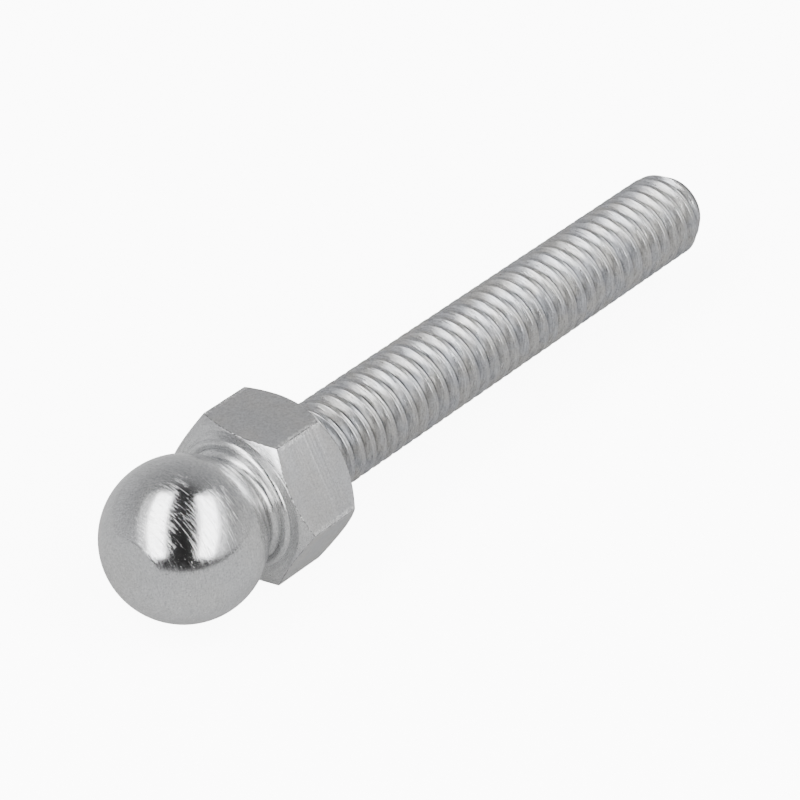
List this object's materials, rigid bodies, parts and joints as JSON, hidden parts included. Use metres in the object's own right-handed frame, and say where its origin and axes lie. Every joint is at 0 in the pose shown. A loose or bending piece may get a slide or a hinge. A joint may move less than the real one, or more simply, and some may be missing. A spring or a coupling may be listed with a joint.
{
  "type": "ball-ended threaded spindle",
  "caption": "Threaded steel stem with a hexagon and a ball head on a short neck, for a swivelling foot or a ball joint.",
  "frame": {"origin": "the centre of the ball", "axes": "+X runs along the stem, away from the ball; +Z is square to one flat of the hexagon; +Y completes the frame, towards a corner of the hexagon"},
  "size_m": [0.053, 0.0114, 0.01],
  "materials": {
    "turned_head": "turned, bright zinc plated",
    "rolled_stem": "rolled thread, bright zinc plated"
  },
  "bodies": {
    "root": {"ball_hex_head": "turned_head", "threaded_stem": "rolled_stem"}
  },
  "joints": []
}
